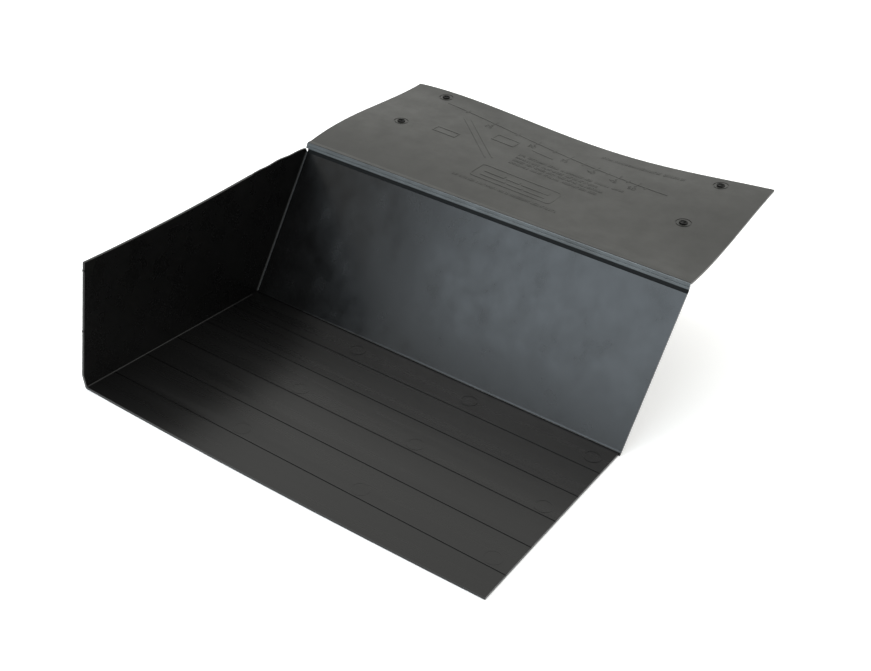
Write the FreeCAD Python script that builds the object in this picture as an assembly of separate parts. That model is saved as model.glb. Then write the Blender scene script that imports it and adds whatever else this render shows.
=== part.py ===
"""Right-hand stepped cavity tray with a living hinge: floor, end wall, steep back and rear flange.

Millimetres, +Z up. The origin is the middle of the floor's underside. +X runs from the end wall to the
open end, and +Y from the front edge to the flange. Each moulded member is its own solid.
"""
import FreeCAD
import Part

import math
import os

Vector = FreeCAD.Vector

# Tray
tray_length = 228.0
floor_depth = 121.5
sheet = 1.3
back_slope = 60.4
back_height = 71.0
wall_front_height = 66.4
wall_rear_height = 72.0
wall_rise_power = 1.8
wall_front_lean = 3.1
wall_toe = 1.2
wall_toe_height = 7.0
wall_to_fold = 4.0
front_skew = 1.5
front_bow = 1.5
open_end_skew = 1.4
open_end_bow = 0.15
back_foot_inset = 0.6
hinge_overhang = 1.0
gusset_sheet = 0.9
gusset_inset = 0.2
gusset_horn = (-0.3, 2.3)
gusset_hump = 0.7
gusset_wave = 0.2
gusset_waves = 2.5
end_bead_radius = 0.5
rear_bead_radius = 2.2
rear_bead_flats = 8
gusset_bead_radius = 0.9

# Lines and rings moulded into the tray
groove_first = 19.9
groove_pitch = 21.4
groove_edge = 8.0
groove_width = 1.0
groove_depth = 0.26
ejector_diameter = 9.0
ejector_edge = 10.0
ejector_columns = 4
ejector_front_margin = 22.0
ejector_rear_margin = 10.5
ejector_row_shares = (0.0, 0.48, 1.0)
ejector_row_reliefs = (0.05, 0.08, 0.14)
wall_ejector_diameter = 12.5
wall_ejector_along = 88.0
wall_ejector_up = 20.5
wall_ejector_relief = 0.1
ejector_line = 0.6
ejector_root = 0.2
edge_burr_radius = 0.9
edge_burr_relief = 0.3
edge_burr_heights = (30.5, 62.0)

# Double living hinge
web_thickness = 0.45
lower_gap = 2.0
bar_slope = 73.0
bar_width = 2.6
bar_score_depth = 0.25
bar_score_width = 0.5
crease_depth = 0.85
crease_web_inner = 0.2
crease_web_outer = 0.6
crease_relief = 0.9
lip_depth = 2.5

# Flange, which cools warped: rises are at the rear edge, bows and shoulders part of the way back
flange_reach = 105.7
flange_side_inset = 1.5
rise_left = 6.2
rise_right = 10.7
bow_left = 1.6
bow_right = -1.7
shoulder_left = 1.15
shoulder_right = -0.9
rear_sag = 5.7
sag_skew = 0.83
rear_wave = 2.85
warp_columns = 17
warp_rows = 9

# Fixing holes in the flange
fixing_pitch_x = 175.5
fixing_offset_x = -0.4
fixing_pitch_y = 46.0
fixing_first_row = 51.5
fixing_hole_radius = 1.6
collar_radius = 2.2
collar_height = 0.5
washer_ring_radius = 4.2
washer_ring_line = 0.6
washer_ring_depth = 0.25

# Raised marks on the flange, as places from the tray's left end and from the crease
relief = 0.12
mark_line = 0.7
fine_line = 0.6
scale_start = (31.2, 91.7)
scale_end = (182.2, 73.0)
scale_course = 75.0
scale_first_mark = 15.6
scale_first_angle = 22.5
scale_last_angle = 52.5
scale_step = 2.5
tick_long = 3.2
tick_short = 2.0
digit_height = 2.8
digit_width = 1.6
digit_stroke = 0.45
digit_gap = 0.1
digit_drop = 1.0
frame_corner_place = (89.0, 24.2)
frame_size = (49.6, 15.4)
frame_rounding = 2.6
word_gap = 1.3

slope = math.radians(back_slope)
bar_angle = math.radians(bar_slope)
left = -tray_length / 2
right = tray_length / 2
hinge_right = right + hinge_overhang
back_foot_right = right - back_foot_inset
front = -floor_depth / 2
front_left = front - front_skew
fold_y = floor_depth / 2
wall_inner = left + sheet
wall_rear = fold_y - wall_to_fold
gusset_outer = left + gusset_inset
gusset_inner = gusset_outer + gusset_sheet
foot_length = back_foot_right - gusset_inner
hinge_length = hinge_right - gusset_outer
tall = 2 * back_height
x_axis = Vector(1, 0, 0)
y_axis = Vector(0, 1, 0)
z_axis = Vector(0, 0, 1)
up_back = Vector(0, math.cos(slope), math.sin(slope))
out_of_back = Vector(0, -math.sin(slope), math.cos(slope))
out_of_bar = Vector(0, -math.sin(bar_angle), math.cos(bar_angle))


def place_on(start, angle, along, depth=0.0):
    """The (y, z) place that is along a line rising at this angle from start, and this deep behind it."""
    y = start[0] + along * math.cos(angle) + depth * math.sin(angle)
    z = start[1] + along * math.sin(angle) - depth * math.cos(angle)
    return y, z


# The section, from the fold at the floor's rear up to the flange's straight front edge
fold = (fold_y, sheet)
back_length = back_height / math.sin(slope)
back_top = place_on(fold, slope, back_length)
bar_start = place_on(back_top, (slope + bar_angle) / 2, lower_gap)
bar_end = place_on(bar_start, bar_angle, bar_width)
crease = place_on(bar_end, bar_angle, 0, crease_depth)
flange_top = crease[1] + crease_depth
lip_front = crease[0]
lip_back = lip_front + lip_depth
flange_rear = lip_front + flange_reach


def along_tray(points, x0, x1):
    """A straight member that runs along the tray, from its (y, z) section."""
    corners = [Vector(x0, y, z) for y, z in points]
    outline = Part.makePolygon(corners + corners[:1])
    return Part.Face(outline).extrude(Vector(x1 - x0, 0, 0))


def largest(shape):
    """The largest solid of a shape, without the slivers that a cut can leave."""
    return max(shape.Solids, key=lambda solid: solid.Volume)


def smooth_edge(points):
    """A smooth edge through these points."""
    curve = Part.BSplineCurve()
    curve.interpolate(points)
    return curve.toShape()


def raised_ring(diameter, relief_height):
    """A low ring about +Z, rooted in the face that it stands on."""
    foot = Vector(0, 0, -ejector_root)
    height = ejector_root + relief_height
    outer = Part.makeCylinder(diameter / 2, height, foot)
    return outer.cut(Part.makeCylinder(diameter / 2 - ejector_line, height, foot))


def ejector_places():
    """The middle of each ejector pin's mark on the floor, with how proud it stands."""
    pitch = (tray_length - 2 * ejector_edge) / (ejector_columns - 1)
    columns = [left + ejector_edge + i * pitch for i in range(ejector_columns)]
    depth = floor_depth - ejector_front_margin - ejector_rear_margin
    rows = [front + ejector_front_margin + depth * share for share in ejector_row_shares]
    return [(x, y, h) for x in columns for y, h in zip(rows, ejector_row_reliefs)]


def floor_outline():
    """The floor's outline: its front edge bows forward, and its open end is cut a little hollow."""
    steps = 10
    shares = [i / steps for i in range(steps + 1)]
    front_points = []
    for u in shares:
        bowed = front_skew * (1 - u) + 4 * front_bow * u * (1 - u)
        front_points.append(Vector(wall_inner + (right - wall_inner) * u, front - bowed, 0))
    end_points = []
    for v in shares:
        hollow = open_end_skew * v + 4 * open_end_bow * v * (1 - v)
        end_points.append(Vector(right - hollow, front + floor_depth * v, 0))
    rear_left = Vector(wall_inner, fold_y, 0)
    return Part.Wire([
        smooth_edge(front_points),
        smooth_edge(end_points),
        Part.makeLine(end_points[-1], rear_left),
        Part.makeLine(rear_left, front_points[0]),
    ])


def floor_panel():
    """The floor, from the end wall to the open end, with its trim grooves and ejector rings."""
    solid = Part.Face(floor_outline()).extrude(Vector(0, 0, sheet))
    half = groove_width / 2
    low = sheet - groove_depth
    high = sheet + groove_depth
    y = fold_y - groove_first
    while y > front + groove_edge:
        section = [(y - half, low), (y + half, low), (y + half, high), (y - half, high)]
        solid = solid.cut(along_tray(section, left, right + sheet))
        y -= groove_pitch
    for x, y, relief_height in ejector_places():
        ring = raised_ring(ejector_diameter, relief_height)
        ring.translate(Vector(x, y, sheet))
        solid = solid.fuse(ring)
    return largest(solid.removeSplitter())


def end_wall():
    """The upright end wall: its front edge leans back above a small toe, and its top rises to the rear."""
    toe = (front_left - wall_toe, sheet + wall_toe_height)
    front_top = front + wall_front_lean
    steps = 8
    top_points = []
    for i in range(steps + 1):
        t = i / steps
        rise = (wall_rear_height - wall_front_height) * t**wall_rise_power
        y = front_top + (wall_rear - front_top) * t
        top_points.append(Vector(left, y, sheet + wall_front_height + rise))
    foot = [top_points[-1], Vector(left, wall_rear, sheet), Vector(left, front_left, sheet)]
    foot += [Vector(left, *toe), top_points[0]]
    edges = [smooth_edge(top_points)] + [Part.makeLine(a, b) for a, b in zip(foot, foot[1:])]
    solid = Part.Face(Part.Wire(edges)).extrude(x_axis * sheet)
    ring = raised_ring(wall_ejector_diameter, wall_ejector_relief)
    ring.rotate(Vector(0, 0, 0), y_axis, 90)
    ring.translate(Vector(wall_inner, front + wall_ejector_along, sheet + wall_ejector_up))
    solid = solid.fuse(ring)
    for height in edge_burr_heights:
        share = (height - wall_toe_height) / (wall_front_height - wall_toe_height)
        y = toe[0] + (front_top - toe[0]) * share
        start = Vector(left, y + edge_burr_radius - edge_burr_relief, sheet + height)
        solid = solid.fuse(Part.makeCylinder(edge_burr_radius, sheet, start, x_axis))
    return solid.removeSplitter()


def end_gusset():
    """The thin web that closes the side between end wall and back, with a slightly wavy top edge."""
    low = (wall_rear, sheet + wall_rear_height)
    horn = (back_top[0] + gusset_horn[0], back_top[1] + gusset_horn[1])
    steps = 12
    wavy = []
    for i in range(steps + 1):
        t = i / steps
        wave = gusset_wave * math.sin(2 * math.pi * gusset_waves * t)
        hump = gusset_hump * math.sin(math.pi * t)
        y = low[0] + (horn[0] - low[0]) * t
        z = low[1] + (horn[1] - low[1]) * t + hump + wave
        wavy.append(Vector(gusset_outer, y, z))
    wavy[-1].z = horn[1]
    around = [
        horn,
        place_on(back_top, slope, 0, sheet),
        place_on(fold, slope, 0, sheet),
        (fold_y, 0),
        fold,
        (wall_rear, sheet),
        low,
    ]
    corners = [Vector(gusset_outer, y, z) for y, z in around]
    outer_mid = Vector(gusset_outer, *place_on(fold, slope / 2, 0, sheet))
    edges = [smooth_edge(wavy)]
    for i, (a, b) in enumerate(zip(corners, corners[1:])):
        round_foot = i == 2
        edges.append(Part.Arc(a, outer_mid, b).toShape() if round_foot else Part.makeLine(a, b))
    return Part.Face(Part.Wire(edges)).extrude(Vector(gusset_sheet, 0, 0))


def back_panel():
    """The steep back, which is a little longer at its top than at its foot."""
    foot_left = Vector(gusset_inner, *fold)
    foot_right = Vector(back_foot_right, *fold)
    top_right = Vector(hinge_right, *back_top)
    top_left = Vector(gusset_inner, *back_top)
    outline = Part.makePolygon([foot_left, foot_right, top_right, top_left, foot_left])
    return Part.Face(outline).extrude(out_of_back * -sheet)


def pie(middle, side_a, side_b, radius, along):
    """Part of a cylinder about the line along from middle, between the directions side_a and side_b."""
    start = middle + side_a * radius
    end = middle + side_b * radius
    halfway = middle + (side_a + side_b).normalize() * radius
    edges = [
        Part.makeLine(middle, start),
        Part.Arc(start, halfway, end).toShape(),
        Part.makeLine(end, middle),
    ]
    return Part.Face(Part.Wire(edges)).extrude(along)


def end_fold():
    """The round outer corner under the end wall."""
    middle = Vector(wall_inner, front_left, sheet)
    return pie(middle, x_axis * -1, z_axis * -1, sheet, y_axis * (fold_y - front_left))


def rear_fold():
    """The round outer corner under the foot of the back."""
    middle = Vector(gusset_inner, *fold)
    return pie(middle, z_axis * -1, out_of_back * -1, sheet, x_axis * foot_length)


def concave_bead(corner, along, side_a, side_b, radius, flats=0):
    """A fillet strip in the corner between two faces, round or in narrow flats.

    The faces leave the corner along side_a and side_b.
    """
    half = side_a.getAngle(side_b) / 2
    middle = (side_a + side_b).normalize()
    tangent_a = corner + side_a * (radius / math.tan(half))
    tangent_b = corner + side_b * (radius / math.tan(half))
    centre = corner + middle * (radius / math.sin(half))
    if flats:
        first = tangent_a - centre
        last = tangent_b - centre
        swing = first.getAngle(last)
        steps = [swing * i / flats for i in range(flats + 1)]
        bend = [centre + (first * math.sin(swing - a) + last * math.sin(a)) * (1 / math.sin(swing)) for a in steps]
        return Part.Face(Part.makePolygon([corner, *bend, corner])).extrude(along)
    edges = [
        Part.makeLine(corner, tangent_a),
        Part.Arc(tangent_a, centre - middle * radius, tangent_b).toShape(),
        Part.makeLine(tangent_b, corner),
    ]
    return Part.Face(Part.Wire(edges)).extrude(along)


def inner_beads():
    """The fillets along the feet of the end wall and the back and along the gusset, clear of one another."""
    at_wall = Vector(wall_inner, front_left, sheet)
    at_gusset = Vector(gusset_inner, *fold)
    end = concave_bead(at_wall, y_axis * (wall_rear - front_left), x_axis, z_axis, end_bead_radius)
    gusset = concave_bead(at_gusset, up_back * back_length, x_axis, out_of_back, gusset_bead_radius)
    foot = x_axis * foot_length
    rear = concave_bead(at_gusset, foot, y_axis * -1, up_back, rear_bead_radius, rear_bead_flats)
    beside_wall = Part.makeBox(tray_length, 2 * floor_depth, tall, at_wall - y_axis * floor_depth)
    behind_fold = Part.makeBox(tray_length, floor_depth, tall, at_gusset)
    free = beside_wall.fuse(behind_fold)
    gusset = largest(gusset.common(free).cut(rear))
    rear = largest(rear.common(free))
    return {"end_bead": end, "gusset_bead": gusset, "rear_bead": rear}


def lower_web():
    """The thin film behind the open groove between the back and the hinge bar."""
    section = [
        place_on(back_top, slope, 0, sheet - web_thickness),
        place_on(back_top, slope, 0, sheet),
        place_on(bar_start, bar_angle, 0, sheet),
        place_on(bar_start, bar_angle, 0, sheet - web_thickness),
    ]
    return along_tray(section, gusset_inner, hinge_right)


def hinge_bar():
    """The narrow strip between the two hinge lines, scored along its middle and relieved behind the crease."""
    middle = bar_width / 2
    half = bar_score_width / 2
    section = [
        bar_start,
        place_on(bar_start, bar_angle, middle - half),
        place_on(bar_start, bar_angle, middle, bar_score_depth),
        place_on(bar_start, bar_angle, middle + half),
        bar_end,
        place_on(bar_end, bar_angle, 0, crease_depth - crease_web_inner),
        place_on(bar_end, bar_angle, -crease_relief, sheet),
        place_on(bar_start, bar_angle, 0, sheet),
    ]
    return along_tray(section, gusset_outer, hinge_right)


def upper_web():
    """The thin film round the crease, a little below the faces on both sides of it."""
    middle = Vector(gusset_outer, *crease)
    film = pie(middle, z_axis, out_of_bar, crease_web_outer, x_axis * hinge_length)
    return film.cut(Part.makeCylinder(crease_web_inner, hinge_length, middle, x_axis))


def flange_lip():
    """The flange's straight front edge, relieved under the crease."""
    section = [
        (lip_front, flange_top),
        (lip_back, flange_top),
        (lip_back, flange_top - sheet),
        (lip_front + crease_relief, flange_top - sheet),
        (lip_front, crease[1] + crease_web_inner),
    ]
    return along_tray(section, gusset_outer, hinge_right)


def flange_height(u, v):
    """The height of the flange's top: u runs from 0 to 1 left to right, v from the lip to the rear."""
    rise = rise_left + (rise_right - rise_left) * u
    bow = bow_left + (bow_right - bow_left) * u
    shoulder = shoulder_left + (shoulder_right - shoulder_left) * u
    curl = 4 * bow * v * (1 - v) + 10 * shoulder * v * (1 - v) * (1 - 2 * v)
    sag = rear_sag * math.sin(math.pi * u**sag_skew) ** 2 * v**1.5
    wave = rear_wave * math.sin(2 * math.pi * u) * v
    return flange_top + rise * v + curl - sag + wave


def flange_face():
    """The warped top face of the flange panel."""
    rows = []
    for j in range(warp_rows):
        v = j / (warp_rows - 1)
        x0 = gusset_outer + (left + flange_side_inset - gusset_outer) * v
        x1 = hinge_right - flange_side_inset * v
        y = lip_back + (flange_rear - lip_back) * v
        columns = [i / (warp_columns - 1) for i in range(warp_columns)]
        rows.append([Vector(x0 + (x1 - x0) * u, y, flange_height(u, v)) for u in columns])
    surface = Part.BSplineSurface()
    surface.interpolate(rows)
    return surface.toShape()


def fixing_places():
    """The middle of each fixing hole, as seen from above."""
    rows = [lip_front + fixing_first_row + i * fixing_pitch_y for i in range(2)]
    columns = [fixing_offset_x + side * fixing_pitch_x / 2 for side in (-1, 1)]
    return [(x, y) for y in rows for x in columns]


def height_at(face, x, y):
    """The height of the warped face above one place."""
    upright = Part.makeLine(Vector(x, y, 0), Vector(x, y, tall))
    return upright.distToShape(face)[1][0][0].z


def flange_panel(face):
    """The warped panel, with its holes and a ring-shaped washer line round each."""
    solid = face.extrude(Vector(0, 0, -sheet))
    for x, y in fixing_places():
        foot = Vector(x, y, height_at(face, x, y) - 4 * sheet)
        solid = solid.cut(Part.makeCylinder(fixing_hole_radius, 8 * sheet, foot))
        groove = Part.makeCylinder(washer_ring_radius, 8 * sheet, foot)
        island = Part.makeCylinder(washer_ring_radius - washer_ring_line, 8 * sheet, foot)
        top_layer = face.extrude(Vector(0, 0, -washer_ring_depth))
        solid = solid.cut(groove.cut(island).common(top_layer))
    return solid


def fixing_collar(face, x, y):
    """A short collar that stands round one hole, on the panel's face."""
    z = height_at(face, x, y)
    foot = Vector(x, y, z - sheet)
    tube = Part.makeCylinder(collar_radius, sheet + collar_height, foot)
    tube = tube.cut(Part.makeCylinder(fixing_hole_radius, sheet + collar_height, foot))
    return largest(tube.cut(face.extrude(Vector(0, 0, -4 * sheet))))


def stroke(start, end, width):
    """A straight line between two places on the flange, as a tall prism that is still to be trimmed."""
    a = Vector(left + start[0], lip_front + start[1], 0)
    b = Vector(left + end[0], lip_front + end[1], 0)
    side = (b - a).cross(Vector(0, 0, 1)).normalize() * (width / 2)
    outline = Part.makePolygon([a - side, b - side, b + side, a + side, a - side])
    return Part.Face(outline).extrude(Vector(0, 0, tall))


def box_outline(x, y, width, depth, line):
    """The four lines of an outlined box, which meet without overlapping."""
    half = line / 2
    return [
        stroke((x, y + half), (x + width, y + half), line),
        stroke((x, y + depth - half), (x + width, y + depth - half), line),
        stroke((x + half, y + line), (x + half, y + depth - line), line),
        stroke((x + width - half, y + line), (x + width - half, y + depth - line), line),
    ]


def scale_place(along, off=0.0):
    """A place on the roof-pitch scale: along its line from the left, and off it towards the rear."""
    dx = scale_end[0] - scale_start[0]
    dy = scale_end[1] - scale_start[1]
    length = math.hypot(dx, dy)
    x = scale_start[0] + (dx * along - dy * off) / length
    y = scale_start[1] + (dy * along + dx * off) / length
    return x, y


def scale_marks():
    """Each roof angle with its place on the scale, spaced as the run of one course at that angle."""
    count = round((scale_last_angle - scale_first_angle) / scale_step) + 1
    first_run = scale_course / math.tan(math.radians(scale_first_angle))
    marks = []
    for i in range(count):
        angle = scale_first_angle + i * scale_step
        run = scale_course / math.tan(math.radians(angle))
        marks.append((angle, scale_first_mark + first_run - run))
    return marks


def has_number(angle):
    """Whether a mark is a multiple of five degrees, which is long and numbered."""
    return angle % 5 == 0


def scale_ticks():
    """The scale's ticks, on both sides of its line."""
    ticks = []
    for angle, along in scale_marks():
        reach = tick_long if has_number(angle) else tick_short
        for side in (1, -1):
            foot = scale_place(along, side * mark_line / 2)
            ticks.append(stroke(foot, scale_place(along, side * reach), fine_line))
    return ticks


# The bars of a plain digit: a top, b and c right, d bottom, e and f left, g middle
digit_bars = {"0": "abcdef", "2": "abged", "3": "abgcd", "4": "fgbc", "5": "afgcd"}


def digit_strokes(digit, x, y):
    """One plain digit made of straight bars, with its lower left corner at this place."""
    w, h = digit_width, digit_height
    g = digit_gap + digit_stroke / 2
    ends = {
        "a": ((x + g, y + h), (x + w - g, y + h)),
        "b": ((x + w, y + h - g), (x + w, y + h / 2 + g)),
        "c": ((x + w, y + h / 2 - g), (x + w, y + g)),
        "d": ((x + g, y), (x + w - g, y)),
        "e": ((x, y + h / 2 - g), (x, y + g)),
        "f": ((x, y + h - g), (x, y + h / 2 + g)),
        "g": ((x + g, y + h / 2), (x + w - g, y + h / 2)),
    }
    return [stroke(*ends[bar], digit_stroke) for bar in digit_bars[digit]]


def scale_numbers():
    """The roof angles under the numbered ticks."""
    bars = []
    step = digit_width + 2 * digit_stroke
    for angle, along in scale_marks():
        if has_number(angle):
            x, y = scale_place(along, -tick_long - digit_drop - digit_height)
            for i, digit in enumerate(str(int(angle))):
                bars += digit_strokes(digit, x - step + digit_stroke + i * step, y)
    return bars


def word_row(x0, x1, y, height, shares):
    """A row of plain bars in place of a line of print. The shares are the bars' relative lengths."""
    free = (x1 - x0) - word_gap * (len(shares) - 1)
    bars = []
    x = x0
    for share in shares:
        width = free * share / sum(shares)
        bars.append(stroke((x, y), (x + width, y), height))
        x += width + word_gap
    return bars


def instruction_bars():
    """Four rows of plain bars in the middle of the flange."""
    bars = word_row(97.4, 161.6, 63.4, 2.1, (2, 5, 3, 6, 2, 4, 3))
    bars += word_row(97.7, 148.9, 59.2, 2.1, (4, 2, 6, 3, 5))
    bars += word_row(98.0, 153.6, 55.4, 2.1, (3, 5, 2, 5, 6))
    bars += word_row(98.1, 151.6, 51.4, 2.1, (5, 3, 4, 6, 2))
    return bars


def heading_bars():
    """The heading at the rear right, and the row in front of the plain frame."""
    heading = word_row(132.8, 182.7, 94.5, 2.5, (2, 9, 4))
    return heading + word_row(82.4, 146.2, 19.6, 2.2, (1, 3, 4, 6, 5))


def rounded_prism(x, y, width, depth, rounding):
    """A tall prism with round upright edges over one place on the flange."""
    box = Part.makeBox(width, depth, tall, Vector(left + x, lip_front + y, 0))
    upright = [edge for edge in box.Edges if abs(edge.Vertexes[0].Z - edge.Vertexes[1].Z) > sheet]
    return box.makeFillet(rounding, upright)


def plain_frame():
    """A rounded frame that holds only two rows of plain bars."""
    x, y = frame_corner_place
    width, depth = frame_size
    line = mark_line
    outer = rounded_prism(x, y, width, depth, frame_rounding)
    inner_size = (width - 2 * line, depth - 2 * line)
    inner = rounded_prism(x + line, y + line, *inner_size, frame_rounding - line)
    x0 = x + 2 * frame_rounding
    x1 = x + width - 2 * frame_rounding
    upper_row = word_row(x0, x1, y + depth * 0.62, 2.8, (3, 2, 4))
    lower_row = word_row(x0, x1, y + depth * 0.3, 1.7, (5, 3, 4))
    return [outer.cut(inner)] + upper_row + lower_row


def fold_diagram():
    """A plain section of a wall: outlined blocks with a slanting double line between them."""
    marks = [
        stroke((49.9, 80.4), (85.6, 46.4), fine_line),
        stroke((53.9, 81.7), (88.7, 48.6), fine_line),
        stroke((99.6, 73.7), (113.4, 72.4), 1.3),
    ]
    marks += box_outline(45.0, 54.5, 15.0, 6.1, fine_line)
    marks += box_outline(75.4, 68.8, 14.5, 8.0, fine_line)
    return marks


def raised(face, prisms):
    """The marks, trimmed to stand a little proud of the warped face."""
    layer = face.extrude(Vector(0, 0, relief))
    return Part.makeCompound([solid for prism in prisms for solid in layer.common(prism).Solids])


def tray_members():
    """The fixed members of the tray."""
    return {
        "floor_panel": floor_panel(),
        "end_wall": end_wall(),
        "end_gusset": end_gusset(),
        "back_panel": back_panel(),
        "end_fold": end_fold(),
        "rear_fold": rear_fold(),
        **inner_beads(),
    }


def hinge_members():
    """The two films and the bar between them."""
    return {"lower_web": lower_web(), "hinge_bar": hinge_bar(), "upper_web": upper_web()}


def flange_members():
    """The lip, the warped panel, its collars and its raised marks."""
    face = flange_face()
    members = {"flange_lip": flange_lip(), "flange_panel": flange_panel(face)}
    for i, (x, y) in enumerate(fixing_places()):
        members[f"fixing_collar_{i + 1}"] = fixing_collar(face, x, y)
    members["pitch_scale_line"] = raised(face, [stroke(scale_start, scale_end, mark_line)])
    members["pitch_scale_ticks"] = raised(face, scale_ticks())
    members["pitch_scale_numbers"] = raised(face, scale_numbers())
    members["plain_frame"] = raised(face, plain_frame())
    members["instruction_bars"] = raised(face, instruction_bars())
    members["heading_bars"] = raised(face, heading_bars())
    members["fold_diagram"] = raised(face, fold_diagram())
    return members


os.makedirs("parts", exist_ok=True)
for name, shape in {**tray_members(), **hinge_members(), **flange_members()}.items():
    shape.exportStep(f"parts/{name}.step")
    print(f"{name:20s} solids {len(shape.Solids):2d}  valid {shape.isValid()}  volume {shape.Volume:9.2f}")
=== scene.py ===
"""Right-hand cavity tray: finishes, hinge films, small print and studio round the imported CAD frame."""
import math
import random

import bpy
from bpy.props import FloatProperty, FloatVectorProperty, IntProperty, PointerProperty
from mathutils import Matrix, Vector
from mathutils.bvhtree import BVHTree


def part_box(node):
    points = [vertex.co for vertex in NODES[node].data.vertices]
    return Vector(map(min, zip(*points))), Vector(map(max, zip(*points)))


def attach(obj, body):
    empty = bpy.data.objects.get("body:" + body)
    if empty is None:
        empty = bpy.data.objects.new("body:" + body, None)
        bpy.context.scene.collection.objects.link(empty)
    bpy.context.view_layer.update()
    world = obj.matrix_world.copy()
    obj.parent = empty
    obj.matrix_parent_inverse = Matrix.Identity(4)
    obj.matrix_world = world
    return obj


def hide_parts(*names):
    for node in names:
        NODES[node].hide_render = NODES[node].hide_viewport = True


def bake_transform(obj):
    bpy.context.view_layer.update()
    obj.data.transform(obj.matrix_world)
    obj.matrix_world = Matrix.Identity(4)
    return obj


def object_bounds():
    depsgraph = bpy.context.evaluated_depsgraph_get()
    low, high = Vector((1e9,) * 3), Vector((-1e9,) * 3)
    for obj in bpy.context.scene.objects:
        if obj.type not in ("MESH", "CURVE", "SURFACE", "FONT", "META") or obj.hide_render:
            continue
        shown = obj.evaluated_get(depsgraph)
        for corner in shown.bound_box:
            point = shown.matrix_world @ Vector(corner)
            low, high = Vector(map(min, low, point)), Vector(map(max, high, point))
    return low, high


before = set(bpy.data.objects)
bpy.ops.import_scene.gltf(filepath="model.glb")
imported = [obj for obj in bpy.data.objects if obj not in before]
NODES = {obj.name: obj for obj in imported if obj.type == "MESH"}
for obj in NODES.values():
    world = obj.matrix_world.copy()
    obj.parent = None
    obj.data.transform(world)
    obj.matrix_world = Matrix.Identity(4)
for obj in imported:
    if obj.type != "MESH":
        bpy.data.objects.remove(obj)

bl_info = {
    "name": "Cavity Tray",
    "version": (1, 0, 0),
    "blender": (4, 5, 0),
    "location": "View3D > Sidebar > Cavity Tray",
    "description": "Finishes a moulded masonry cavity tray with a living hinge, its small print and a studio",
    "category": "Object",
}

CAD_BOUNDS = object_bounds()

TRAY_PARTS = ["floor_panel", "end_fold", "end_bead"]
WALL_PARTS = ["end_wall", "end_gusset", "gusset_bead"]
BACK_PARTS = ["back_panel", "rear_bead", "rear_fold"]
FLANGE_PARTS = ["flange_lip", "flange_panel"]
COLLARS = [f"fixing_collar_{i}" for i in range(1, 5)]
MARK_PARTS = ["pitch_scale_line", "pitch_scale_ticks", "pitch_scale_numbers", "plain_frame", "fold_diagram"]
PRINT_PIECES = (("instruction_strokes", "instruction_bars"), ("heading_strokes", "heading_bars"))

# how many repeats of each kind of noise fit in a metre
CLOUD_SCALE = 48
GLOSS_SCALE = 85
GRAIN_SCALE = 1500

WHITE = (1.0, 1.0, 1.0)
FLOOR_GAP = 0.0003
FLOOR_REACH = 60.0
FILM_SLACK = 0.00004
SAME_PLACE = 2e-6
STROKE_ROOT = 0.0001
SHORTEST_STROKE = 5e-5


class TrayPlastic(bpy.types.PropertyGroup):
    """The black moulded plastic of the tray, its hinge and its flange."""

    body_colour: FloatVectorProperty(
        name="Body colour",
        description="Colour of the floor, wall and back",
        subtype="COLOR", size=3, min=0.0, max=1.0, default=(0.0020, 0.0020, 0.0020),
    )
    flange_colour: FloatVectorProperty(
        name="Flange colour",
        description="Colour of the rear flange and its raised marks",
        subtype="COLOR", size=3, min=0.0, max=1.0, default=(0.0125, 0.0127, 0.0105),
    )
    # Painted highlight: the hinge bar and the crease film get a paler, cool grey in place of the black body
    # colour. It stands in for the soft box light that they reflect. The lower film takes a near-black share
    # of it.
    hinge_highlight_colour: FloatVectorProperty(
        name="Hinge painted highlight colour",
        description="Colour of the bar and films between back and flange",
        subtype="COLOR", size=3, min=0.0, max=1.0, default=(0.075, 0.087, 0.094),
    )
    floor_roughness: FloatProperty(
        name="Floor roughness", description="How matt the floor is",
        subtype="FACTOR", min=0.0, max=1.0, default=0.28,
    )
    back_roughness: FloatProperty(
        name="Back roughness", description="How matt the steep back is",
        subtype="FACTOR", min=0.0, max=1.0, default=0.23,
    )
    flange_roughness: FloatProperty(
        name="Flange roughness", description="How matt the flange is",
        subtype="FACTOR", min=0.0, max=1.0, default=0.42,
    )
    grain_depth: FloatProperty(
        name="Grain depth", description="Height of the fine moulded grain",
        subtype="DISTANCE", unit="LENGTH", min=0.0, max=0.001, default=0.000012, precision=6,
    )
    ripple_depth: FloatProperty(
        name="Ripple depth", description="Height of the broad ripples that moulded panels cool with",
        subtype="DISTANCE", unit="LENGTH", min=0.0, max=0.005, default=0.0006, precision=5,
    )


class HingeFilms(bpy.types.PropertyGroup):
    """The two thin films of the living hinge."""

    stations: IntProperty(
        name="Stations", description="Number of points along each film",
        min=20, max=600, default=180,
    )
    edge_waver: FloatProperty(
        name="Edge waver", description="How far the films waver where the plastic has stretched",
        subtype="DISTANCE", unit="LENGTH", min=0.0, max=0.0003, default=0.00006, precision=6,
    )


class SmallPrint(bpy.types.PropertyGroup):
    """The rows of generic strokes that stand in for small raised print."""

    stroke_width: FloatProperty(
        name="Stroke width", description="Width of one raised stroke",
        subtype="DISTANCE", unit="LENGTH", min=0.0001, max=0.002, default=0.00038, precision=5,
    )
    stroke_pitch: FloatProperty(
        name="Stroke pitch", description="Distance from one stroke to the next",
        subtype="DISTANCE", unit="LENGTH", min=0.0002, max=0.004, default=0.00092, precision=5,
    )
    relief: FloatProperty(
        name="Relief", description="How proud the strokes stand",
        subtype="DISTANCE", unit="LENGTH", min=0.00005, max=0.001, default=0.00012, precision=5,
    )
    seed: IntProperty(name="Seed", description="Starting number for the pattern of strokes", default=7)


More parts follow.
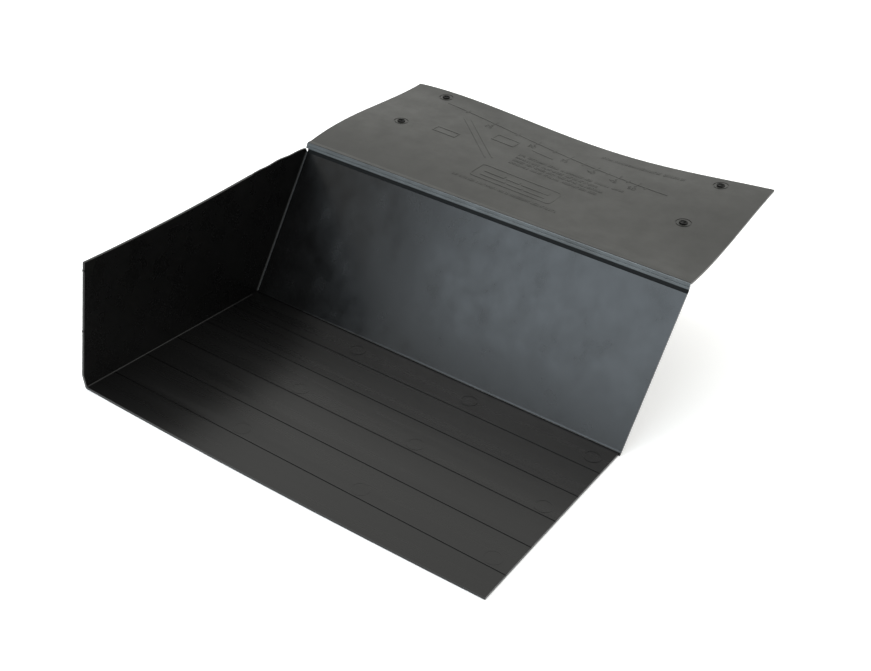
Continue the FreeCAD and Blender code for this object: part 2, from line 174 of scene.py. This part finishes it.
class Studio(bpy.types.PropertyGroup):
    """The camera, floor and soft lights."""

    camera_turn: FloatProperty(
        name="Camera turn", description="How far the camera is turned to the right of the front",
        subtype="ANGLE", unit="ROTATION", default=math.radians(31.17),
    )
    camera_rise: FloatProperty(
        name="Camera rise", description="How far the camera looks down",
        subtype="ANGLE", unit="ROTATION", default=math.radians(31.98),
    )
    camera_roll: FloatProperty(
        name="Camera roll", description="How far the camera leans over",
        subtype="ANGLE", unit="ROTATION", default=math.radians(5.607),
    )
    camera_distance: FloatProperty(
        name="Camera distance", description="Distance from the camera to the point that it looks at",
        subtype="DISTANCE", unit="LENGTH", min=0.1, default=0.6134,
    )
    camera_target: FloatVectorProperty(
        name="Camera target", description="The point that the camera looks at",
        subtype="XYZ", unit="LENGTH", size=3, default=(0.0049, 0.0614, 0.0217),
    )
    lens: FloatProperty(
        name="Lens", description="Focal length of the camera",
        subtype="DISTANCE_CAMERA", unit="CAMERA", min=1.0, default=50.32,
    )
    sky_colour: FloatVectorProperty(
        name="Sky colour", description="Colour of the white room",
        subtype="COLOR", size=3, min=0.0, max=1.0, default=(1.0, 1.0, 0.965),
    )
    sky_strength: FloatProperty(
        name="Sky strength", description="Brightness of the white room", min=0.0, default=1.18,
    )
    front_sky_strength: FloatProperty(
        name="Front sky strength", description="Brightness of the room's front half, which is dimmer",
        min=0.0, default=0.45,
    )
    key_colour: FloatVectorProperty(
        name="Key colour", description="Colour of the soft box at the front",
        subtype="COLOR", size=3, min=0.0, max=1.0, default=(0.78, 0.90, 1.0),
    )
    key_radiance: FloatProperty(
        name="Key brightness", description="Brightness of the front soft box's face", min=0.0, default=3.6,
    )
    top_radiance: FloatProperty(
        name="Top brightness", description="Brightness of the soft box overhead", min=0.0, default=4.0,
    )
    floor_glow: FloatProperty(
        name="Floor glow", description="Light that the studio floor gives off", min=0.0, default=0.34,
    )
    floor_colour: FloatVectorProperty(
        name="Floor colour", description="Colour of the studio floor",
        subtype="COLOR", size=3, min=0.0, max=1.0, default=(0.95, 0.95, 0.95),
    )


def clear_piece(name):
    """Removes the piece of this name from an earlier run of its operator."""
    old = bpy.data.objects.get(name)
    if old is not None:
        bpy.data.objects.remove(old)


def new_piece(name, points, faces, smooth_angle=None):
    """A mesh piece from points in metres and faces."""
    clear_piece(name)
    mesh = bpy.data.meshes.new(name)
    mesh.from_pydata([tuple(p) for p in points], [], faces)
    mesh.validate()
    if smooth_angle is not None:
        mesh.shade_smooth()
        mesh.set_sharp_from_angle(angle=smooth_angle)
    mesh.update()
    piece = bpy.data.objects.new(name, mesh)
    bpy.context.scene.collection.objects.link(piece)
    return piece


def give_material(obj, material):
    """Puts one material on an object, in place of what it has."""
    if not obj.data.materials:
        obj.data.materials.append(None)
    for place in obj.material_slots:
        place.link = "OBJECT"
        place.material = material


def moulded_plastic(
    name, colour, roughness, grain, ripple, ripple_scale, mottling=0.25, stretch=(1, 1, 1), sheen_level=0.5,
):
    """Moulded plastic with a cloudy colour, patchy gloss, broad ripples from cooling and a fine grain."""
    material = bpy.data.materials.get(name) or bpy.data.materials.new(name)
    material.use_nodes = True
    tree = material.node_tree
    tree.nodes.clear()
    add = tree.nodes.new
    link = tree.links.new
    output = add("ShaderNodeOutputMaterial")
    shader = add("ShaderNodeBsdfPrincipled")
    shader.inputs["IOR"].default_value = 1.5
    shader.inputs["Specular IOR Level"].default_value = sheen_level
    link(shader.outputs["BSDF"], output.inputs["Surface"])
    place = add("ShaderNodeTexCoord")
    mapping = add("ShaderNodeMapping")
    mapping.inputs["Scale"].default_value = stretch
    link(place.outputs["Object"], mapping.inputs["Vector"])

    def noise(scale, detail, rough):
        node = add("ShaderNodeTexNoise")
        node.inputs["Scale"].default_value = scale
        node.inputs["Detail"].default_value = detail
        node.inputs["Roughness"].default_value = rough
        link(mapping.outputs["Vector"], node.inputs["Vector"])
        return node.outputs["Fac"]

    def spread(value, low, high):
        node = add("ShaderNodeMapRange")
        node.inputs["From Min"].default_value = 0.3
        node.inputs["From Max"].default_value = 0.7
        node.inputs["To Min"].default_value = low
        node.inputs["To Max"].default_value = high
        link(value, node.inputs["Value"])
        return node.outputs["Result"]

    clouds = add("ShaderNodeValToRGB")
    clouds.color_ramp.elements[0].position = 0.32
    clouds.color_ramp.elements[1].position = 0.68
    clouds.color_ramp.elements[0].color = (*[c * (1 - mottling) for c in colour], 1)
    clouds.color_ramp.elements[1].color = (*[c * (1 + mottling) for c in colour], 1)
    link(noise(CLOUD_SCALE, 5, 0.6), clouds.inputs["Fac"])
    link(clouds.outputs["Color"], shader.inputs["Base Color"])
    gloss = noise(GLOSS_SCALE, 4, 0.6)
    link(spread(gloss, roughness - 0.05, roughness + 0.06), shader.inputs["Roughness"])
    broad = add("ShaderNodeBump")
    broad.inputs["Strength"].default_value = 1.0
    broad.inputs["Distance"].default_value = ripple
    link(noise(ripple_scale, 2, 0.4), broad.inputs["Height"])
    fine = add("ShaderNodeBump")
    fine.inputs["Strength"].default_value = 1.0
    fine.inputs["Distance"].default_value = grain
    link(noise(GRAIN_SCALE, 2, 0.5), fine.inputs["Height"])
    link(broad.outputs["Normal"], fine.inputs["Normal"])
    link(fine.outputs["Normal"], shader.inputs["Normal"])
    return material


def section_of(node):
    """The (y, z) corners of a straight CAD strip and its two ends along the tray."""
    mesh = NODES[node].data
    corners = {(round(v.co.y, 7), round(v.co.z, 7)) for v in mesh.vertices}
    low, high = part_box(node)
    return sorted(corners, key=lambda c: c[1]), low[0], high[0]


def film_strip(name, rings, x0, x1, stations, waver, seed):
    """A closed film swept along the tray, with rings of (y, z, share) as its section.

    The share is how much of the waver each place takes.
    """
    rng = random.Random(seed)
    waves = [(rng.uniform(20, 90), rng.uniform(0, math.tau), rng.uniform(0.3, 1.0)) for _ in range(5)]
    total = sum(w[2] for w in waves)
    points = []
    for i in range(stations + 1):
        t = i / stations
        shift = waver * sum(a * math.sin(math.tau * f * t + p) for f, p, a in waves) / total
        for y, z, share in rings:
            points.append((x0 + (x1 - x0) * t, y - shift * share, z + shift * share * 0.3))
    n = len(rings)
    faces = []
    for i in range(stations):
        for j in range(n):
            a, b = i * n + j, i * n + (j + 1) % n
            faces.append((a, a + n, b + n, b))
    faces.append(tuple(range(n)))
    faces.append(tuple(stations * n + j for j in reversed(range(n))))
    return new_piece(name, points, faces, smooth_angle=math.radians(50))


class TRAY_OT_finish_tray(bpy.types.Operator):
    """Gives the floor, the end wall and the steep back their moulded finishes."""

    bl_idname = "cavity_tray.finish_tray"
    bl_label = "Finish Tray"

    def execute(self, context):
        look = context.scene.tray_plastic
        floor = moulded_plastic(
            "Floor plastic", look.body_colour, look.floor_roughness, look.grain_depth,
            look.ripple_depth * 0.35, 90, stretch=(0.03, 1, 1), sheen_level=0.4,
        )
        wall = moulded_plastic(
            "End wall plastic", look.body_colour, look.floor_roughness, look.grain_depth,
            look.ripple_depth * 0.35, 10, sheen_level=0.34,
        )
        back = moulded_plastic(
            "Back panel plastic", look.body_colour, look.back_roughness, look.grain_depth,
            look.ripple_depth * 0.3, 26, stretch=(1, 0.8, 0.8),
        )
        for names, material in ((TRAY_PARTS, floor), (WALL_PARTS, wall), (BACK_PARTS, back)):
            for name in names:
                give_material(NODES[name], material)
        return {"FINISHED"}


class TRAY_OT_finish_hinge(bpy.types.Operator):
    """Finishes the hinge bar and makes the lower of the two thin films, between the back and the bar."""

    bl_idname = "cavity_tray.finish_hinge"
    bl_label = "Finish Hinge"

    def execute(self, context):
        look = context.scene.tray_plastic
        films = context.scene.hinge_films
        # Painted highlight: the bar's pale blue-grey colour stands in for the light that it reflects.
        hinge = moulded_plastic(
            "Hinge plastic", look.hinge_highlight_colour, look.back_roughness, look.grain_depth,
            look.ripple_depth / 3, 40,
        )
        give_material(NODES["hinge_bar"], hinge)
        film = moulded_plastic(
            "Hinge film plastic", [c * 0.09 for c in look.hinge_highlight_colour], 0.5, look.grain_depth,
            look.ripple_depth / 3, 40, sheen_level=0.12,
        )

        corners, x0, x1 = section_of("lower_web")
        if len(corners) != 4:
            raise RuntimeError("the lower film's section should have four corners")
        low_pair = sorted(corners[:2])
        high_pair = sorted(corners[2:])
        steps = 6
        inner, outer = [], []
        for i in range(steps + 1):
            t = i / steps
            share = math.sin(math.pi * t)
            for chain, side, slack in ((inner, 0, FILM_SLACK), (outer, 1, 0.0)):
                a, b = low_pair[side], high_pair[side]
                y = a[0] + (b[0] - a[0]) * t + slack * share
                z = a[1] + (b[1] - a[1]) * t
                chain.append((y, z, share))
        rings = inner + outer[::-1]
        lower = film_strip("lower_film", rings, x0, x1, films.stations, films.edge_waver, 3)
        give_material(lower, film)
        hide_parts("lower_web")
        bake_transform(lower)
        return {"FINISHED"}


class TRAY_OT_crease_film(bpy.types.Operator):
    """Makes the film round the crease, which joins the bar to the flange."""

    bl_idname = "cavity_tray.crease_film"
    bl_label = "Crease Film"

    def execute(self, context):
        films = context.scene.hinge_films
        corners, x0, x1 = section_of("upper_web")
        middle_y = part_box("flange_lip")[0][1]
        top_z = max(z for y, z in corners)
        inner_z = min(z for y, z in corners if abs(y - middle_y) < SAME_PLACE)
        far = min(corners, key=lambda c: c[0])
        # the film is part of a ring through the far and top corners, centred straight below the top one
        dy = middle_y - far[0]
        dz = top_z - far[1]
        radius = (dy * dy + dz * dz) / (2 * dz)
        centre = (middle_y, top_z - radius)
        inner_radius = inner_z - centre[1]
        sweep = math.atan2(dy, far[1] - centre[1])
        steps = 8
        outer_arc, inner_arc = [], []
        for i in range(steps + 1):
            t = i / steps
            angle = sweep * (1 - t)
            share = math.sin(math.pi * t)
            for chain, r in ((outer_arc, radius), (inner_arc, inner_radius)):
                chain.append((centre[0] - r * math.sin(angle), centre[1] + r * math.cos(angle), share))
        rings = outer_arc + inner_arc[::-1]
        film = film_strip("crease_film", rings, x0, x1, films.stations, films.edge_waver * 0.5, 5)
        # Painted highlight: the crease film takes the bar's paler colour, which stands in for the light that
        # it reflects.
        give_material(film, bpy.data.materials["Hinge plastic"])
        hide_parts("upper_web")
        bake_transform(film)
        return {"FINISHED"}


class TRAY_OT_finish_flange(bpy.types.Operator):
    """Gives the flange, its lip, its collars and its raised marks their matt grained finish."""

    bl_idname = "cavity_tray.finish_flange"
    bl_label = "Finish Flange"

    def execute(self, context):
        look = context.scene.tray_plastic
        flange = moulded_plastic(
            "Flange plastic", look.flange_colour, look.flange_roughness, look.grain_depth * 1.6,
            look.ripple_depth * 0.5, 14, mottling=0.12,
        )
        marks = moulded_plastic(
            "Raised mark plastic", [c * 1.15 for c in look.flange_colour], look.flange_roughness,
            look.grain_depth, look.ripple_depth * 0.2, 30,
        )
        collar = moulded_plastic(
            "Collar plastic", look.body_colour, 0.5, look.grain_depth,
            look.ripple_depth * 0.2, 30, sheen_level=0.15,
        )
        for names, material in ((FLANGE_PARTS, flange), (COLLARS, collar), (MARK_PARTS, marks)):
            for name in names:
                give_material(NODES[name], material)
        return {"FINISHED"}


def flange_top():
    """A way to look up the height of the flange's top face."""
    mesh = NODES["flange_panel"].data
    tree = BVHTree.FromPolygons([v.co for v in mesh.vertices], [p.vertices for p in mesh.polygons])

    def height(x, y):
        hit = tree.ray_cast(Vector((x, y, 1.0)), Vector((0, 0, -1)))
        return hit[0].z if hit[0] is not None else None

    return height


def word_boxes(node):
    """The place of each bar of a CAD mark as (x0, x1, y0, y1), found from its loose parts."""
    mesh = NODES[node].data
    owner = list(range(len(mesh.vertices)))

    def root(i):
        while owner[i] != i:
            owner[i] = owner[owner[i]]
            i = owner[i]
        return i

    seen = {}
    for v in mesh.vertices:
        key = tuple(round(c, 6) for c in v.co)
        if key in seen:
            owner[root(v.index)] = root(seen[key])
        else:
            seen[key] = v.index
    for p in mesh.polygons:
        first = root(p.vertices[0])
        for i in p.vertices[1:]:
            owner[root(i)] = first
    groups = {}
    for v in mesh.vertices:
        groups.setdefault(root(v.index), []).append(v.co)
    boxes = []
    for places in groups.values():
        xs = [p.x for p in places]
        ys = [p.y for p in places]
        boxes.append((min(xs), max(xs), min(ys), max(ys)))
    return sorted(boxes, key=lambda b: (round(b[2], 4), b[0]))


def stroke_block(points, faces, height, x0, x1, y0, y1, relief):
    """Adds one raised stroke with drawn-in top edges, standing on the flange."""
    inset = min(x1 - x0, y1 - y0) * 0.18
    base = len(points)
    for level, draw in ((-STROKE_ROOT, 0.0), (relief * 0.65, 0.0), (relief, inset)):
        left, right = x0 + draw, x1 - draw
        near, far = y0 + draw, y1 - draw
        for x, y in ((left, near), (right, near), (right, far), (left, far)):
            points.append((x, y, height(x, y) + level))
    for ring in range(2):
        for k in range(4):
            a = base + ring * 4 + k
            b = base + ring * 4 + (k + 1) % 4
            faces.append((a, b, b + 4, a + 4))
    faces.append((base + 8, base + 9, base + 10, base + 11))
    faces.append((base + 3, base + 2, base + 1, base))


def letter_strokes(kind, x, letter, y0, y1, wide):
    """The strokes of one generic letter shape that starts at x, each as (x0, x1, y0, y1)."""
    inner = x + letter - 1.6 * wide
    outer = x + letter - 0.6 * wide
    middle = y0 + (y1 - y0) * 0.45
    strokes = [(x, x + wide, y0, y1)]
    if kind in "UHO":
        strokes.append((inner, outer, y0, y1))
    if kind in "LUO":
        strokes.append((x + wide, inner, y0, y0 + wide))
    if kind in "TO":
        strokes.append((x + wide, inner, y1 - wide, y1))
    if kind == "H":
        strokes.append((x + wide, inner, middle, middle + wide))
    return strokes


class TRAY_OT_small_print(bpy.types.Operator):
    """Builds rows of generic raised strokes in place of the plain bars on the flange."""

    bl_idname = "cavity_tray.small_print"
    bl_label = "Small Print"

    def execute(self, context):
        look = context.scene.small_print
        height = flange_top()
        marks = bpy.data.materials["Raised mark plastic"]
        wide = look.stroke_width
        for number, (name, node) in enumerate(PRINT_PIECES):
            rng = random.Random(look.seed + number)
            points, faces = [], []
            for x0, x1, y0, y1 in word_boxes(node):
                x = x0
                while x + wide <= x1 + 1e-6:
                    kind = rng.choice("IIILTUHO")
                    letter = min(look.stroke_pitch * rng.choice((1.5, 1.8, 2.0)), x1 - x)
                    if kind == "I" or letter < 2.2 * wide:
                        kind, letter = "I", look.stroke_pitch
                    for a0, a1, b0, b1 in letter_strokes(kind, x, letter, y0, y1, wide):
                        if a1 - a0 > SHORTEST_STROKE:
                            stroke_block(points, faces, height, a0, a1, b0, b1, look.relief)
                    x += letter
            piece = new_piece(name, points, faces)
            give_material(piece, marks)
            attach(piece, "flange")
            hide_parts(node)
        return {"FINISHED"}


def soft_box(name, direction, distance, target, width, height, colour, radiance):
    """A soft box whose face has the given brightness, aimed at the target."""
    clear_piece(name)
    light = bpy.data.lights.new(name, "AREA")
    light.shape = "RECTANGLE"
    light.size = width
    light.size_y = height
    light.color = colour
    light.energy = radiance * math.pi * width * height
    lamp = bpy.data.objects.new(name, light)
    bpy.context.scene.collection.objects.link(lamp)
    away = Vector(direction).normalized()
    lamp.location = Vector(target) + away * distance
    lamp.rotation_euler = away.to_track_quat("Z", "Y").to_euler()


def white_room(look):
    """A white room whose front half is dimmer above the horizon."""
    world = bpy.data.worlds.get("White room") or bpy.data.worlds.new("White room")
    world.use_nodes = True
    add = world.node_tree.nodes.new
    link = world.node_tree.links.new

    def spread(value, start, end, low, high):
        node = add("ShaderNodeMapRange")
        node.inputs["From Min"].default_value = start
        node.inputs["From Max"].default_value = end
        node.inputs["To Min"].default_value = low
        node.inputs["To Max"].default_value = high
        link(value, node.inputs["Value"])
        return node

    sky = world.node_tree.nodes["Background"]
    sky.inputs["Color"].default_value = (*look.sky_colour, 1)
    direction = add("ShaderNodeTexCoord")
    split = add("ShaderNodeSeparateXYZ")
    link(direction.outputs["Generated"], split.inputs["Vector"])
    fade = spread(split.outputs["Y"], -0.55, 0.25, 0.0, 1.0)
    fade.interpolation_type = "SMOOTHSTEP"
    horizon = spread(split.outputs["Z"], 0.1, 0.3, 1.0, 0.0)
    brighter = add("ShaderNodeMath")
    brighter.operation = "MAXIMUM"
    link(fade.outputs["Result"], brighter.inputs[0])
    link(horizon.outputs["Result"], brighter.inputs[1])
    level = spread(brighter.outputs["Value"], 0.0, 1.0, look.front_sky_strength, look.sky_strength)
    link(level.outputs["Result"], sky.inputs["Strength"])
    return world


class TRAY_OT_studio(bpy.types.Operator):
    """Sets up the pale floor, the white room, the two soft boxes and the camera."""

    bl_idname = "cavity_tray.studio"
    bl_label = "Studio"

    def execute(self, context):
        scene = context.scene
        look = scene.tray_studio
        scene.view_settings.view_transform = "Standard"

        clear_piece("studio_floor")
        ground = CAD_BOUNDS[0][2] - FLOOR_GAP
        sides = ((-1, -1), (1, -1), (1, 1), (-1, 1))
        corners = [(x * FLOOR_REACH, y * FLOOR_REACH, ground) for x, y in sides]
        floor = new_piece("studio_floor", corners, [(0, 1, 2, 3)])
        paper = bpy.data.materials.get("Studio paper") or bpy.data.materials.new("Studio paper")
        paper.use_nodes = True
        sheet = paper.node_tree.nodes["Principled BSDF"]
        sheet.inputs["Base Color"].default_value = (*look.floor_colour, 1)
        sheet.inputs["Roughness"].default_value = 0.9
        sheet.inputs["Specular IOR Level"].default_value = 0.1
        sheet.inputs["Emission Color"].default_value = (*WHITE, 1)
        sheet.inputs["Emission Strength"].default_value = look.floor_glow
        give_material(floor, paper)

        scene.world = white_room(look)

        soft_box(
            "Front soft box", (-0.185, -0.805, 0.53), 1.1, (0.06, 0.08, 0.04), 0.8, 0.5,
            look.key_colour, look.key_radiance,
        )
        soft_box(
            "Top soft box", (-0.30, -0.05, 0.95), 1.2, (0.0, 0.05, 0.04), 0.7, 0.5,
            WHITE, look.top_radiance,
        )

        camera_data = bpy.data.cameras.get("Tray camera") or bpy.data.cameras.new("Tray camera")
        camera_data.sensor_fit = "HORIZONTAL"
        camera_data.sensor_width = 36.0
        camera_data.lens = look.lens
        camera_data.clip_start = 0.01
        camera_data.clip_end = 50.0
        camera = bpy.data.objects.get("Tray camera")
        if camera is None:
            camera = bpy.data.objects.new("Tray camera", camera_data)
            scene.collection.objects.link(camera)
        turn, rise, roll = look.camera_turn, look.camera_rise, look.camera_roll
        back = Vector((math.sin(turn) * math.cos(rise), -math.cos(turn) * math.cos(rise), math.sin(rise)))
        level = (-back).cross(Vector((0, 0, 1))).normalized()
        upright = level.cross(-back).normalized()
        right = level * math.cos(roll) + upright * math.sin(roll)
        up = upright * math.cos(roll) - level * math.sin(roll)
        axes = Matrix((right, up, back)).transposed().to_4x4()
        place = Vector(look.camera_target) + back * look.camera_distance
        camera.matrix_world = Matrix.Translation(place) @ axes
        scene.camera = camera
        return {"FINISHED"}


STEPS = (
    TRAY_OT_studio,
    TRAY_OT_finish_tray,
    TRAY_OT_finish_hinge,
    TRAY_OT_crease_film,
    TRAY_OT_finish_flange,
    TRAY_OT_small_print,
)


class TRAY_PT_sidebar(bpy.types.Panel):
    """Lists the tray's settings and steps."""

    bl_label = "Cavity Tray"
    bl_idname = "TRAY_PT_sidebar"
    bl_space_type = "VIEW_3D"
    bl_region_type = "UI"
    bl_category = "Cavity Tray"

    def draw(self, context):
        layout = self.layout
        for settings in ("tray_plastic", "hinge_films", "small_print", "tray_studio"):
            group = getattr(context.scene, settings)
            box = layout.box()
            for name in group.__annotations__:
                box.prop(group, name)
        for step in STEPS:
            layout.operator(step.bl_idname, text=step.bl_label)


SETTINGS = {
    "tray_plastic": TrayPlastic,
    "hinge_films": HingeFilms,
    "small_print": SmallPrint,
    "tray_studio": Studio,
}


def register():
    """Registers the settings, the steps and the panel."""
    for group in SETTINGS.values():
        bpy.utils.register_class(group)
    for name, group in SETTINGS.items():
        setattr(bpy.types.Scene, name, PointerProperty(type=group))
    for step in STEPS:
        bpy.utils.register_class(step)
    bpy.utils.register_class(TRAY_PT_sidebar)


def unregister():
    """Removes what register added."""
    bpy.utils.unregister_class(TRAY_PT_sidebar)
    for step in reversed(STEPS):
        bpy.utils.unregister_class(step)
    for name in SETTINGS:
        delattr(bpy.types.Scene, name)
    for group in reversed(list(SETTINGS.values())):
        bpy.utils.unregister_class(group)


def main():
    """Registers the add-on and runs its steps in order."""
    register()
    for step in STEPS:
        group, name = step.bl_idname.split(".")
        getattr(getattr(bpy.ops, group), name)()


if __name__ == "__main__":
    main()
